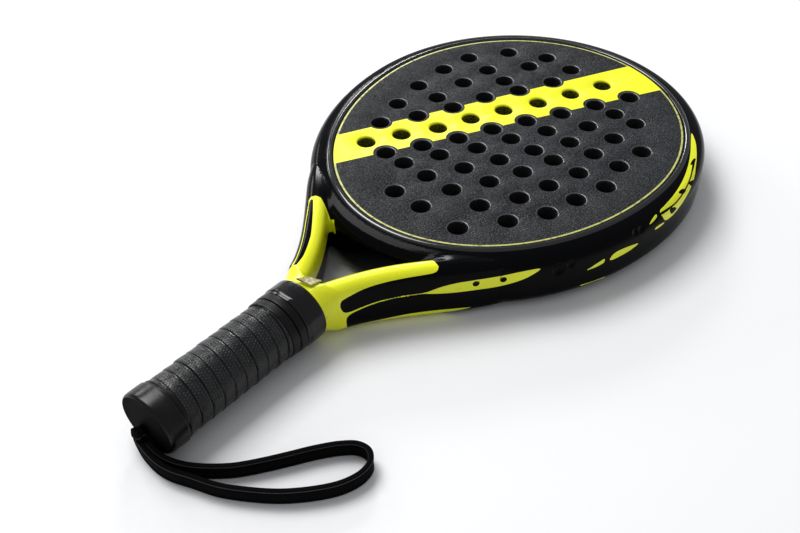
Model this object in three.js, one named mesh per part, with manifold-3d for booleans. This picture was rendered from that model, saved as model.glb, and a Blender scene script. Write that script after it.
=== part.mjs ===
// Padel racket with a wrist strap, lying flat on its back face.
// Millimetres, +Z up. X runs across the racket, Y from the butt to the tip of the head, and the
// origin is on the floor under the middle of the racket.
import * as THREE from 'three';
import { mergeVertices } from 'three/addons/utils/BufferGeometryUtils.js';
import Module from 'manifold-3d';

const wasm = await Module();
wasm.setup();

// Driving dimensions of the racket
const LENGTH = 455;
const WIDTH = 249;
const THICKNESS = 38;
const TIP_Y = LENGTH / 2;
const BUTT_Y = -LENGTH / 2;
const MID_Z = THICKNESS / 2;
const GAP = 0.3;

// Head: two half ellipses that meet at the widest line
const WIDEST_Y = 95;
const HOOP_LOW_Y = -60;
const RIM = 15;
const WALL = 2.2;
const EDGE_ROUND = 6;

// Throat and arms
const ARM_START_ANGLE = -35;
const ARM_END_HALF = 17.5;
const ARM_END_Y = -118;
const THROAT_TOP = new THREE.Vector2(36, -53.4);
const FACE_MEETS_ARM_ANGLE = -53;
const BRIDGE_HALF = 62;
const SLOT_HALF = 2.2;
const SLOT_END_Y = -108;

// The frame's sections in the handle
const COLLAR_Y = -113.8;
const NECK_R = 15.5;
const NECK_END_Y = -121;
const LEG_HALF = 9.6;
const LEG_HALF_HEIGHT = 8.6;
const LEG_END_Y = -216;

// Faces and core
const SKIN = 1.5;
const SKIN_SUNK = 0.6;
const HOLE_R = 6.1;
const HOLE_SIDES = 10;

// Handle build-up: half width and half height of each layer
const PALLET = [14.8, 14.0];
const BASE_GRIP = [17.0, 16.2];
const OVERGRIP = [18.2, 17.2];
const TAPE = [18.9, 17.9];
const SLEEVE = [19.3, 18.2];
const GRIP_RING = [20.0, 18.6];
const BUTT_CAP = [20.2, 17.8];
const GRIP_END_Y = -213;
const CAP_WALL = 3;
const STRAP_EXIT = new THREE.Vector3(-4.5, BUTT_Y, 13);

const COLOURS = {
  lacquer: { color: 0x0b0c0e, roughness: 0.16, metalness: 0.0 },
  face: { color: 0x2b2d30, roughness: 0.8, metalness: 0.0 },
  foam: { color: 0x1c1d1f, roughness: 0.9, metalness: 0.0 },
  handleFoam: { color: 0x8c8a80, roughness: 0.9, metalness: 0.0 },
  grip: { color: 0x17181a, roughness: 0.6, metalness: 0.0 },
  rubber: { color: 0x101113, roughness: 0.45, metalness: 0.0 },
  webbing: { color: 0x0d0d0f, roughness: 0.8, metalness: 0.0 },
  steel: { color: 0xa8a9ab, roughness: 0.35, metalness: 1.0 },
  badge: { color: 0xb9b3a2, roughness: 0.25, metalness: 0.4 },
};

// Holes of the drill plan, row by row from the throat to the tip. Each row is level to the right of
// the stripe and climbs by rise (mm per mm) to the left of it.
const DRILL_ROWS = [
  { y: -11, rise: 0.0, x: [-15, 7, 37] },
  { y: 14, rise: 0.0, x: [-64, -46, -30, -10, 11, 34, 56] },
  { y: 36, rise: 0.07, x: [-72, -52, -33, -18, 3, 24, 48, 70] },
  { y: 58, rise: 0.13, x: [-78, -58, -38, -20, -4, 15, 34, 55, 76] },
  { y: 81, rise: 0.18, x: [-82, -62, -46, -28, -9, 7, 26, 42, 62, 83] },
  { y: 104, rise: 0.24, x: [-82, -60, -37, -17, 3, 20, 39, 58, 78] },
  { y: 127, rise: 0.24, x: [-78, -57, -39, -24, -4, 16, 38, 59, 81] },
  { y: 151, rise: 0.28, x: [-60, -37, -12, 7, 28, 44, 61] },
  { y: 175, rise: 0.12, x: [-34, -11, 18, 41] },
];
const ROW_FALL = 0.06;

// The stripe across the face runs along this line, and the rows bend where they cross it
const STRIPE_POINT = new THREE.Vector2(-64, 15);
const STRIPE_SLOPE = 23 / 11.8;

// ---------------------------------------------------------------- solids

function toManifold(geometry) {
  const bare = geometry.clone();
  bare.deleteAttribute('normal');
  bare.deleteAttribute('uv');
  const merged = mergeVertices(bare, 1e-4);
  const mesh = new wasm.Mesh({
    numProp: 3,
    vertProperties: new Float32Array(merged.attributes.position.array),
    triVerts: new Uint32Array(merged.index.array),
  });
  return new wasm.Manifold(mesh);
}

function toGeometry(solid) {
  const mesh = solid.getMesh();
  const geometry = new THREE.BufferGeometry();
  geometry.setAttribute('position', new THREE.BufferAttribute(mesh.vertProperties, 3));
  geometry.setIndex(new THREE.BufferAttribute(mesh.triVerts, 1));
  return geometry;
}

// A plan outline between two heights, with an optional rounding of its outer edges
function plate(points, bottom, top, round = 0, holes = []) {
  const shape = new THREE.Shape(points);
  shape.holes = holes.map((hole) => new THREE.Path(hole));
  const geometry = new THREE.ExtrudeGeometry(shape, {
    depth: top - bottom - 2 * round,
    bevelEnabled: round > 0,
    bevelThickness: round,
    bevelSize: round,
    bevelOffset: -round,
    bevelSegments: 3,
  });
  return geometry.translate(0, 0, bottom + round);
}

function ellipsePoints(halfWidth, halfHeight, sides, x = 0, y = 0) {
  const points = [];
  for (let i = 0; i < sides; i += 1) {
    const angle = (2 * Math.PI * (i + 0.5)) / sides;
    points.push(new THREE.Vector2(x + halfWidth * Math.cos(angle), y + halfHeight * Math.sin(angle)));
  }
  return points;
}

// A section drawn in X and Z around the handle's axis, run along Y from one place to another
function alongHandle(points, fromY, toY, holes = []) {
  const geometry = plate(points, 0, toY - fromY, 0, holes);
  geometry.rotateX(Math.PI / 2);
  return geometry.translate(0, toY, MID_Z);
}

function mirrored(points) {
  return points.map((p) => new THREE.Vector2(-p.x, p.y)).reverse();
}

function box(low, high) {
  const size = new THREE.Vector3().subVectors(high, low);
  const middle = new THREE.Vector3().addVectors(low, high).multiplyScalar(0.5);
  return new THREE.BoxGeometry(size.x, size.y, size.z).translate(middle.x, middle.y, middle.z);
}

// ---------------------------------------------------------------- plan of the frame

// A point of the head's outline, moved in by inset. 0 degrees is the right side, 90 the tip.
function hoopPoint(degrees, inset) {
  const angle = THREE.MathUtils.degToRad(degrees);
  const reach = Math.sin(angle) >= 0 ? TIP_Y - WIDEST_Y : WIDEST_Y - HOOP_LOW_Y;
  const x = (WIDTH / 2 - inset) * Math.cos(angle);
  return new THREE.Vector2(x, WIDEST_Y + (reach - inset) * Math.sin(angle));
}

function hoopArc(fromDegrees, toDegrees, inset, steps) {
  const points = [];
  for (let i = 0; i <= steps; i += 1) {
    points.push(hoopPoint(THREE.MathUtils.lerp(fromDegrees, toDegrees, i / steps), inset));
  }
  return points;
}

// Points of a curve, moved sideways: a positive shift goes to the right of its direction
function curvePoints(curve, steps, shift) {
  const points = [];
  for (let i = 0; i <= steps; i += 1) {
    const at = curve.getPoint(i / steps);
    const along = curve.getTangent(i / steps);
    points.push(new THREE.Vector2(at.x + along.y * shift, at.y - along.x * shift));
  }
  return points;
}

const armStart = hoopPoint(ARM_START_ANGLE, 0);
const armOuter = new THREE.CubicBezierCurve(
  armStart,
  new THREE.Vector2(armStart.x - 25, armStart.y - 44.5),
  new THREE.Vector2(ARM_END_HALF, -84),
  new THREE.Vector2(ARM_END_HALF, ARM_END_Y),
);
const throatSide = new THREE.CubicBezierCurve(
  new THREE.Vector2(SLOT_HALF, SLOT_END_Y),
  new THREE.Vector2(7.5, -97),
  new THREE.Vector2(14, -79.5),
  THROAT_TOP,
);

// Right half of the frame's outer line, from the tip to the end of the leg
function outerLine(inset, endY) {
  const arc = hoopArc(90, ARM_START_ANGLE, inset, 22);
  const arm = curvePoints(armOuter, 12, inset).slice(1);
  return [...arc, ...arm, new THREE.Vector2(ARM_END_HALF - inset, endY)];
}

// Right half of the frame's inner line, from the end of the leg to the tip
function innerLine(inset, endY) {
  const slot = new THREE.Vector2(SLOT_HALF + inset, endY);
  const throat = curvePoints(throatSide, 8, inset);
  const face = hoopArc(FACE_MEETS_ARM_ANGLE, 90, RIM - inset, 26);
  return [slot, ...throat, ...face];
}

// The frame is a hairpin: one tube round the head whose two arms run down into the handle. The
// hollow of the tube is the same form, moved in by the wall, and opens at the ends of the legs.
function frameForm(inset) {
  const endY = inset > 0 ? LEG_END_Y - 10 : LEG_END_Y;
  const outer = outerLine(inset, endY);
  const inner = innerLine(inset, endY);
  const hairpin = [...mirrored(outer).slice(0, -1), ...outer, ...inner, ...mirrored(inner).slice(1)];
  const tall = THICKNESS + 10;
  const plan = toManifold(plate(hairpin, -10, tall));

  const roundedOutline = outerLine(inset, BUTT_Y - 30);
  const silhouette = [...mirrored(roundedOutline).slice(0, -1), ...roundedOutline];
  const rounded = toManifold(plate(silhouette, inset, THICKNESS - inset, EDGE_ROUND - inset));

  const side = new THREE.Shape([
    new THREE.Vector2(TIP_Y + 5, inset),
    new THREE.Vector2(TIP_Y + 5, THICKNESS - inset),
    new THREE.Vector2(HOOP_LOW_Y, THICKNESS - inset),
    new THREE.Vector2(COLLAR_Y, THICKNESS - 2 - inset),
    new THREE.Vector2(COLLAR_Y, 2 + inset),
    new THREE.Vector2(HOOP_LOW_Y, inset),
  ]);
  const sideSlab = new THREE.ExtrudeGeometry(side, { depth: WIDTH + 10, bevelEnabled: false });
  const yzx = new THREE.Matrix4().makeBasis(
    new THREE.Vector3(0, 1, 0),
    new THREE.Vector3(0, 0, 1),
    new THREE.Vector3(1, 0, 0),
  );
  sideSlab.applyMatrix4(yzx).translate(-WIDTH / 2 - 5, 0, 0);

  const neckR = NECK_R - inset;
  const neck = alongHandle(ellipsePoints(neckR, neckR, 24), NECK_END_Y, COLLAR_Y + 1);
  const legs = box(
    new THREE.Vector3(-LEG_HALF + inset, endY - 5, MID_Z - LEG_HALF_HEIGHT + inset),
    new THREE.Vector3(LEG_HALF - inset, NECK_END_Y + 1, MID_Z + LEG_HALF_HEIGHT - inset),
  );
  const envelope = toManifold(sideSlab).add(toManifold(neck)).add(toManifold(legs));
  return plan.intersect(rounded).intersect(envelope);
}

// ---------------------------------------------------------------- side plugs

// Bladder vents on the outside of each arm: where each one is along the arm's outer curve
const VENTS = [
  { name: 'upper', along: 0.22 },
  { name: 'lower', along: 0.36 },
];
const VENT_Z = 25;
const VENT_R = 1.9;
const PLUG_R = 1.55;
const PLUG_LENGTH = 2.6;
const PLUG_SUNK = 0.3;

function ventPlace(vent, side) {
  const at = armOuter.getPoint(vent.along);
  const along = armOuter.getTangent(vent.along);
  return {
    at: new THREE.Vector3(side * at.x, at.y, VENT_Z),
    outward: new THREE.Vector3(-along.y * side, along.x, 0).normalize(),
  };
}

function turnedTo(geometry, outward, at) {
  const turn = new THREE.Quaternion().setFromUnitVectors(new THREE.Vector3(0, 1, 0), outward);
  return geometry.applyQuaternion(turn).translate(at.x, at.y, at.z);
}

// ---------------------------------------------------------------- the sub-parts

const racket = new THREE.Group();

function addPart(name, geometry, look) {
  const mesh = new THREE.Mesh(geometry, new THREE.MeshStandardMaterial(COLOURS[look]));
  mesh.name = name;
  racket.add(mesh);
  return mesh;
}

function addFrame() {
  let frame = frameForm(0).subtract(frameForm(WALL));
  for (const side of [-1, 1]) {
    for (const vent of VENTS) {
      const place = ventPlace(vent, side);
      const drill = new THREE.CylinderGeometry(VENT_R, VENT_R, 8, 12);
      frame = frame.subtract(toManifold(turnedTo(drill, place.outward, place.at)));
    }
  }
  addPart('frame_tube', toGeometry(frame), 'lacquer');
}

function addSidePlugs() {
  for (const side of [-1, 1]) {
    for (const vent of VENTS) {
      const place = ventPlace(vent, side);
      const depth = PLUG_SUNK + PLUG_LENGTH / 2;
      const middle = place.at.clone().addScaledVector(place.outward, -depth);
      const plug = new THREE.CylinderGeometry(PLUG_R, PLUG_R, PLUG_LENGTH, 12);
      const hand = side < 0 ? 'left' : 'right';
      addPart(`side_plug_${hand}_${vent.name}`, turnedTo(plug, place.outward, middle), 'rubber');
    }
  }
}

// The bridge closes the head between the arms. Its sides stay clear of the arms' inner edges.
function addBridge() {
  const faceEnd = hoopPoint(FACE_MEETS_ARM_ANGLE, RIM);
  const edge = new THREE.Vector2().subVectors(faceEnd, THROAT_TOP).normalize();
  const clear = new THREE.Vector2(-edge.y, edge.x).multiplyScalar(GAP);
  const corner = THROAT_TOP.clone().add(clear);
  const reach = (BRIDGE_HALF - corner.x) / edge.x;
  const shoulder = corner.clone().addScaledVector(edge, reach);

  const cornerAngle = THREE.MathUtils.radToDeg(Math.acos(corner.x / (WIDTH / 2)));
  const low = hoopArc(-180 + cornerAngle + 0.5, -cornerAngle - 0.5, 0, 12);
  const highAngle = THREE.MathUtils.radToDeg(Math.acos(BRIDGE_HALF / (WIDTH / 2 - RIM)));
  const high = hoopArc(-highAngle, -180 + highAngle, RIM, 16);
  const left = new THREE.Vector2(-shoulder.x, shoulder.y);
  const plan = toManifold(plate([...low, corner, shoulder, ...high, left], -10, THICKNESS + 10));

  const outline = hoopArc(0, 354, 0, 59);
  const rounded = toManifold(plate(outline, 0, THICKNESS, EDGE_ROUND));
  addPart('throat_bridge', toGeometry(plan.intersect(rounded)), 'lacquer');
}

function drillHoles() {
  const holes = [];
  for (const row of DRILL_ROWS) {
    const stripeX = STRIPE_POINT.x + (row.y - STRIPE_POINT.y) / STRIPE_SLOPE;
    for (const x of row.x) {
      const slope = x < stripeX ? row.rise : ROW_FALL;
      holes.push(ellipsePoints(HOLE_R, HOLE_R, HOLE_SIDES, x, row.y - slope * (x - stripeX)));
    }
  }
  return holes;
}

function addFacesAndCore() {
  const outline = hoopArc(0, 355, RIM + GAP, 71);
  const holes = drillHoles();
  const backLow = SKIN_SUNK;
  const backHigh = backLow + SKIN;
  const frontHigh = THICKNESS - SKIN_SUNK;
  const frontLow = frontHigh - SKIN;
  addPart('foam_core', plate(outline, backHigh + GAP, frontLow - GAP, 0, holes), 'foam');
  addPart('face_skin_front', plate(outline, frontLow, frontHigh, 0, holes), 'face');
  addPart('face_skin_back', plate(outline, backLow, backHigh, 0, holes), 'face');
}

// Two half shells of foam turn the pair of legs into the oval core of the handle
function addPallets() {
  const [halfWidth, halfHeight] = PALLET;
  const legOut = LEG_HALF + GAP;
  const legTop = LEG_HALF_HEIGHT + GAP;
  const section = [];
  const steps = 12;
  for (let i = 0; i <= steps; i += 1) {
    const angle = -Math.PI / 2 + (Math.PI * i) / steps;
    const x = Math.max(halfWidth * Math.cos(angle), GAP / 2);
    section.push(new THREE.Vector2(x, halfHeight * Math.sin(angle)));
  }
  section.push(new THREE.Vector2(GAP / 2, legTop));
  section.push(new THREE.Vector2(legOut, legTop));
  section.push(new THREE.Vector2(legOut, -legTop));
  section.push(new THREE.Vector2(GAP / 2, -legTop));
  const fromY = LEG_END_Y;
  const toY = NECK_END_Y - GAP;
  addPart('handle_pallet_right', alongHandle(section, fromY, toY), 'handleFoam');
  addPart('handle_pallet_left', alongHandle(mirrored(section), fromY, toY), 'handleFoam');
}

function addHandleWeb() {
  const half = SLOT_HALF - GAP;
  const web = box(
    new THREE.Vector3(-half, LEG_END_Y, MID_Z - LEG_HALF_HEIGHT),
    new THREE.Vector3(half, SLOT_END_Y - 2, MID_Z + LEG_HALF_HEIGHT),
  );
  addPart('handle_web', web, 'handleFoam');
}

// A sleeve round the handle: an oval outside and an oval bore
function sleeve(outer, inner, fromY, toY, sides = 32) {
  const bore = ellipsePoints(inner[0] + GAP, inner[1] + GAP, sides);
  return alongHandle(ellipsePoints(outer[0], outer[1], sides), fromY, toY, [bore]);
}

function addGrip() {
  const ringEnd = -128.5;
  const sleeveEnd = -134;
  const tapeEnd = -139.8;
  addPart('base_grip', sleeve(BASE_GRIP, PALLET, GRIP_END_Y, ringEnd - GAP), 'grip');
  addPart('overgrip', sleeve(OVERGRIP, BASE_GRIP, GRIP_END_Y, ringEnd - GAP), 'grip');
  addPart('finishing_tape', sleeve(TAPE, OVERGRIP, tapeEnd, sleeveEnd - GAP), 'rubber');
  addPart('collar_sleeve', sleeve(SLEEVE, OVERGRIP, sleeveEnd, ringEnd - GAP), 'rubber');
  addPart('grip_ring', sleeve(GRIP_RING, [NECK_R, NECK_R], ringEnd, COLLAR_Y - GAP), 'lacquer');
}

// The cap is a cup over the end of the handle, with a hole low in its end wall for the strap
function addButtCap() {
  const outline = ellipsePoints(BUTT_CAP[0], BUTT_CAP[1], 32);
  const capLength = GRIP_END_Y - GAP - BUTT_Y;
  const body = plate(outline, 0, capLength + 3, 3);
  body.rotateX(Math.PI / 2).translate(0, BUTT_Y + capLength + 3, MID_Z);
  const trim = box(
    new THREE.Vector3(-30, BUTT_Y + capLength, -10),
    new THREE.Vector3(30, BUTT_Y + capLength + 10, THICKNESS + 10),
  );
  const inside = ellipsePoints(PALLET[0] + 1, PALLET[1] + 1, 32);
  const cavity = alongHandle(inside, BUTT_Y + CAP_WALL, GRIP_END_Y + 5);
  const strapHole = new THREE.CylinderGeometry(5, 5, 20, 16).translate(
    STRAP_EXIT.x,
    STRAP_EXIT.y,
    STRAP_EXIT.z,
  );
  let cap = toManifold(body).subtract(toManifold(trim));
  cap = cap.subtract(toManifold(cavity)).subtract(toManifold(strapHole));
  for (const side of [-1, 1]) {
    cap = cap.subtract(toManifold(tackForm(side, TACK_R + GAP, TACK_BORE)));
  }
  addPart('butt_cap', toGeometry(cap), 'rubber');
}

// Two tacks hold the cap: each goes through its side wall and stops at the foam
const TACK_R = 0.9;
const TACK_LENGTH = 4;
const TACK_BORE = 12;
const TACK_X = 17.6;
const TACK_Y = -219.5;

function tackForm(side, radius, length) {
  const tack = new THREE.CylinderGeometry(radius, radius, length, 10);
  tack.rotateZ(Math.PI / 2);
  return tack.translate(side * TACK_X, TACK_Y, MID_Z);
}

function addTacks() {
  addPart('butt_tack_left', tackForm(-1, TACK_R, TACK_LENGTH), 'steel');
  addPart('butt_tack_right', tackForm(1, TACK_R, TACK_LENGTH), 'steel');
}

// A turned piece whose axis runs along Y through the strap's exit
function turned(profile, sides) {
  const points = profile.map(([r, y]) => new THREE.Vector2(r, y));
  return new THREE.LatheGeometry(points, sides).translate(STRAP_EXIT.x, 0, STRAP_EXIT.z);
}

function addStrapFittings() {
  const low = BUTT_Y + GAP;
  const high = BUTT_Y + CAP_WALL;
  const eyelet = turned([[3.4, low], [4.7, low], [4.7, high], [3.4, high], [3.4, low]], 16);
  addPart('strap_eyelet', eyelet, 'rubber');

  // The stitched ends of the strap come out level, and the two runs hang from under them
  const gather = turned([[0, -232.6], [2.2, -232.6], [3.1, -231.6], [3.1, -224.2],
    [0, -224.2]], 12);
  addPart('strap_gather', gather, 'webbing');

  const knot = turned([[0, -223.9], [3.6, -223.9], [4.6, -222], [4.6, -219], [3.2, -216.6],
    [0, -216.6]], 12);
  addPart('strap_knot', knot, 'webbing');
}

// Route of the strap's middle line: out of the cap, round a loop on the floor, and back
const STRAP_ROUTE = [
  [-5.2, -231.6, 9.3], [-4.3, -232.0, 8.0], [-2.2, -232.5, 6.6], [1.6, -233.3, 5.6],
  [6.4, -234.1, 5.1], [12.2, -234.7, 5.0], [18.0, -234.6, 5.0], [24.5, -233.4, 5.0],
  [34.0, -229.9, 5.0], [48.0, -225.0, 5.0], [60.5, -218.0, 5.0], [75.0, -207.5, 5.0],
  [87.0, -195.0, 5.0], [94.5, -184.0, 5.0], [97.8, -173.0, 5.0], [96.4, -164.6, 5.0],
  [91.0, -160.0, 5.0], [84.4, -160.8, 5.0], [77.6, -166.4, 5.0], [69.4, -177.0, 5.0],
  [62.0, -188.6, 5.0], [54.2, -200.4, 5.0], [46.0, -211.2, 5.0], [37.0, -219.6, 5.0],
  [28.0, -225.9, 5.0], [20.0, -229.4, 5.0], [13.0, -230.8, 5.0], [6.8, -230.7, 5.2],
  [1.6, -229.9, 6.2], [-1.5, -229.5, 7.7], [-2.6, -229.4, 9.3],
];
const STRAP_R = 1.6;
const STRAP_SIDES = 8;
const STRAP_STEPS = 64;

function addStrap() {
  const route = new THREE.CatmullRomCurve3(
    STRAP_ROUTE.map((p) => new THREE.Vector3(...p)),
    false,
    'centripetal',
  );
  const section = new THREE.Shape(ellipsePoints(STRAP_R, STRAP_R, STRAP_SIDES));
  const tube = new THREE.ExtrudeGeometry(section, { steps: STRAP_STEPS, extrudePath: route });
  addPart('wrist_strap', tube, 'webbing');
}

// A small bright wedge sits in the notch where the arms part, on the front only
function addThroatBadge() {
  const bottom = THICKNESS - 1.6 + GAP;
  const wedge = [
    new THREE.Vector2(-4.5, -112.5),
    new THREE.Vector2(5, -111),
    new THREE.Vector2(7.5, -104.5),
    new THREE.Vector2(-1, -107.5),
  ];
  addPart('throat_badge', plate(wedge, bottom, bottom + 1.2), 'badge');
}

addFrame();
addSidePlugs();
addBridge();
addFacesAndCore();
addPallets();
addHandleWeb();
addGrip();
addButtCap();
addTacks();
addStrapFittings();
addStrap();
addThroatBadge();

export default racket;
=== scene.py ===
import math

import bmesh
import bpy
import numpy as np
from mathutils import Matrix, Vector
from mathutils.geometry import delaunay_2d_cdt


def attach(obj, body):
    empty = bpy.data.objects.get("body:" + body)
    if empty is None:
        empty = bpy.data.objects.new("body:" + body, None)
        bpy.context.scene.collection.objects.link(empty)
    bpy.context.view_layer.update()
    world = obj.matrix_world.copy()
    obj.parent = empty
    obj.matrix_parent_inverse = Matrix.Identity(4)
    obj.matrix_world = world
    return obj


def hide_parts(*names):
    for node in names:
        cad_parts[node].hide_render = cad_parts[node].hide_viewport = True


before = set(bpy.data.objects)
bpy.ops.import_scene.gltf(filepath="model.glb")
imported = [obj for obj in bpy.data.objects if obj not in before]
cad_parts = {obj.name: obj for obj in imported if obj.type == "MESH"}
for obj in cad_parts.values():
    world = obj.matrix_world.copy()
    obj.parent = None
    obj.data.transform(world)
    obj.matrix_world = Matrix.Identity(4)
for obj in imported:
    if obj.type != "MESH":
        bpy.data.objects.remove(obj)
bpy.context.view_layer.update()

# Lengths are millimetres until a mesh is made, in the CAD model's frame: the racket lies on its
# back face, X runs across it, Y from the butt to the tip of the head, and Z up.
MM = 0.001
MID_Z = 19.0
HALF_THICK = 19.0
HALF_WIDTH = 124.5
WIDEST_Y = 95.0
REACH_UP = 132.5
REACH_DOWN = 155.0
RIM = 15.0

# -------- camera


CAMERA_AZIMUTH = math.radians(40.15)
CAMERA_ELEVATION = math.radians(41.68)
CAMERA_TARGET = Vector((20.1, -51.1, 19.0)) * MM
CAMERA_AWAY = 0.6124
LENS_MM = 46.1


def add_camera():
    """The photographer's place: to the right of the handle, looking down over the head."""
    level = math.cos(CAMERA_ELEVATION)
    back = Vector((math.sin(CAMERA_AZIMUTH) * level, -math.cos(CAMERA_AZIMUTH) * level,
                   math.sin(CAMERA_ELEVATION)))
    data = bpy.data.cameras.new("camera")
    data.sensor_width = 36
    data.lens = LENS_MM
    data.clip_start = 0.02
    data.clip_end = 20
    camera = bpy.data.objects.new("camera", data)
    bpy.context.scene.collection.objects.link(camera)
    camera.rotation_mode = "QUATERNION"
    camera.location = CAMERA_TARGET + back * CAMERA_AWAY
    camera.rotation_quaternion = (-back).to_track_quat("-Z", "Y")
    bpy.context.scene.camera = camera


add_camera()

# -------- materials


class Shader:
    """A material with one Principled shader, and short ways to add nodes to it."""

    def __init__(self, name, **sockets):
        self.material = bpy.data.materials.new(name)
        self.material.use_nodes = True
        self.tree = self.material.node_tree
        self.main = self.tree.nodes["Principled BSDF"]
        for key, value in sockets.items():
            self.put(self.main, key.replace("_", " "), value)
        self.place = self.node("ShaderNodeTexCoord").outputs["Object"]

    def put(self, node, socket, value):
        """Sets a socket, or links it if the value is another node's output."""
        target = node.inputs[socket]
        if isinstance(value, bpy.types.NodeSocket):
            self.tree.links.new(value, target)
        elif target.type == "RGBA":
            target.default_value = (*value, 1.0)
        else:
            target.default_value = value

    def node(self, kind, inputs=None, **settings):
        made = self.tree.nodes.new(kind)
        for key, value in settings.items():
            setattr(made, key, value)
        for socket, value in (inputs or {}).items():
            self.put(made, socket, value)
        return made

    def noise(self, scale, detail=3.0, rough=0.55, stretch=None, distortion=0.0):
        place = self.place
        if stretch:
            place = self.node("ShaderNodeMapping", {"Vector": place, "Scale": stretch}).outputs[0]
        inputs = {"Vector": place, "Scale": scale, "Detail": detail, "Roughness": rough,
                  "Distortion": distortion}
        return self.node("ShaderNodeTexNoise", inputs).outputs["Fac"]

    def cells(self, scale, feature="F1"):
        inputs = {"Vector": self.place, "Scale": scale}
        return self.node("ShaderNodeTexVoronoi", inputs, feature=feature).outputs["Distance"]

    def along(self):
        """How far along the piece and how far across it, from the UV map."""
        uv = self.node("ShaderNodeUVMap", uv_map="along").outputs[0]
        return self.node("ShaderNodeSeparateXYZ", {0: uv}).outputs[:2]

    def math(self, operation, a, b=0.0):
        return self.node("ShaderNodeMath", {0: a, 1: b}, operation=operation).outputs[0]

    def spread(self, value, low, high, to_low=0.0, to_high=1.0):
        """Maps low..high to to_low..to_high, with the ends held."""
        inputs = {0: value, 1: low, 2: high, 3: to_low, 4: to_high}
        return self.node("ShaderNodeMapRange", inputs).outputs[0]

    def mix(self, share, a, b):
        return self.node("ShaderNodeMix", {0: share, 6: a, 7: b}, data_type="RGBA").outputs[2]

    def tint(self, tone, mask, share, colour):
        """Mixes a colour into the tone where the mask is, up to that share."""
        return self.mix(self.math("MULTIPLY", mask, share), tone, colour)

    def colour(self, value):
        self.put(self.main, "Base Color", value)

    def rough(self, value, low, high, to_low, to_high):
        """Roughness from to_low to to_high as the value goes from low to high."""
        self.put(self.main, "Roughness", self.spread(value, low, high, to_low, to_high))

    def bump(self, height, depth_mm, strength=1.0, before=None):
        """Bump by a height, on top of the bump made before it."""
        inputs = {"Height": height, "Distance": depth_mm * MM, "Strength": strength}
        if before is not None:
            inputs["Normal"] = before
        made = self.node("ShaderNodeBump", inputs).outputs[0]
        self.put(self.main, "Normal", made)
        return made


def lacquer_material(name, shine):
    """Black gloss lacquer: slight orange peel, dust and dull smears from hands."""
    black = (0.002, 0.0022, 0.003)
    s = Shader(name, Specular_IOR_Level=shine)
    smear = s.spread(s.noise(28, 4, 0.6), 0.42, 0.7)
    dust = s.spread(s.noise(1500, 2, 0.5), 0.70, 0.78)
    s.rough(s.math("ADD", smear, s.math("MULTIPLY", dust, 1.667)), 0, 2.667, 0.10, 0.42)
    s.colour(s.tint(black, dust, 0.2, (0.04, 0.042, 0.045)))
    peel = s.bump(s.noise(380, 2, 0.5), 0.02, 0.35)
    s.bump(s.noise(45, 2, 0.5), 0.05, 0.35, peel)
    return s.material


def yellow_material():
    """Lemon gloss paint on the throat and sides, a little greener where it is thicker."""
    s = Shader("yellow_paint", Coat_Weight=0.35, Coat_Roughness=0.12)
    cloud = s.spread(s.noise(22, 3, 0.5), 0.35, 0.65)
    speck = s.spread(s.noise(1900, 2, 0.5), 0.68, 0.74)
    tone = s.mix(cloud, (0.88, 0.90, 0.016), (0.80, 0.84, 0.012))
    s.colour(s.tint(tone, speck, 0.35, (0.45, 0.46, 0.06)))
    s.rough(s.noise(60, 3, 0.6), 0.3, 0.7, 0.24, 0.42)
    s.bump(s.noise(420, 3, 0.5), 0.03, 0.4)
    return s.material


def sandy_bump(s, strength):
    """The rough grains moulded into the faces, over a coarser waviness."""
    grains = s.cells(780, "SMOOTH_F1")
    first = s.bump(s.noise(230, 4, 0.65), 0.16, strength)
    return s.bump(s.math("ADD", grains, s.noise(1500, 2, 0.6)), 0.3, strength, first)


def face_material():
    """Sanded charcoal laminate with pale scuffs, and fine pale specks that are partly grit and
    partly painted glints off the grains.
    """
    s = Shader("face_laminate", Specular_IOR_Level=0.22)
    cloud = s.spread(s.noise(14, 4, 0.6, distortion=0.6), 0.35, 0.68)
    tone = s.mix(cloud, (0.003, 0.0035, 0.005), (0.014, 0.015, 0.018))
    mottle = s.spread(s.noise(260, 4, 0.7), 0.48, 0.68)
    tone = s.tint(tone, mottle, 0.5, (0.030, 0.033, 0.038))
    # The pale specks are partly grit in the laminate and partly painted glints: a painted highlight
    # off the grains.
    speck = s.spread(s.noise(1050, 2, 0.8), 0.52, 0.66)
    tone = s.tint(tone, speck, 0.7, (0.18, 0.19, 0.205))
    scuff = s.spread(s.noise(90, 5, 0.7, stretch=(1.0, 0.18, 1.0), distortion=1.5), 0.69, 0.76)
    s.colour(s.tint(tone, scuff, 0.45, (0.17, 0.165, 0.15)))
    s.rough(s.noise(240, 3, 0.6), 0.35, 0.65, 0.34, 0.6)
    sandy_bump(s, 1.0)
    return s.material


def stripe_material():
    """The face's stripe: the same grains under satin yellow paint, with dark pits."""
    s = Shader("stripe_paint", Coat_Weight=0.15, Coat_Roughness=0.3)
    cloud = s.spread(s.noise(30, 4, 0.6), 0.35, 0.7)
    tone = s.mix(cloud, (0.90, 0.91, 0.016), (0.80, 0.84, 0.012))
    pit = s.spread(s.noise(1300, 3, 0.7), 0.66, 0.73)
    s.colour(s.tint(tone, pit, 0.5, (0.30, 0.31, 0.03)))
    s.rough(s.noise(300, 3, 0.6), 0.3, 0.7, 0.34, 0.55)
    sandy_bump(s, 0.35)
    return s.material


def pinstripe_material():
    """A thin dull yellow line printed at the edge of the face."""
    s = Shader("pinstripe")
    worn = s.spread(s.noise(320, 4, 0.7), 0.52, 0.62)
    s.colour(s.tint((0.60, 0.60, 0.20), worn, 0.8, (0.20, 0.20, 0.10)))
    s.rough(worn, 0, 1, 0.4, 0.6)
    s.bump(s.noise(900, 2, 0.5), 0.05, 0.4)
    return s.material


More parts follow.
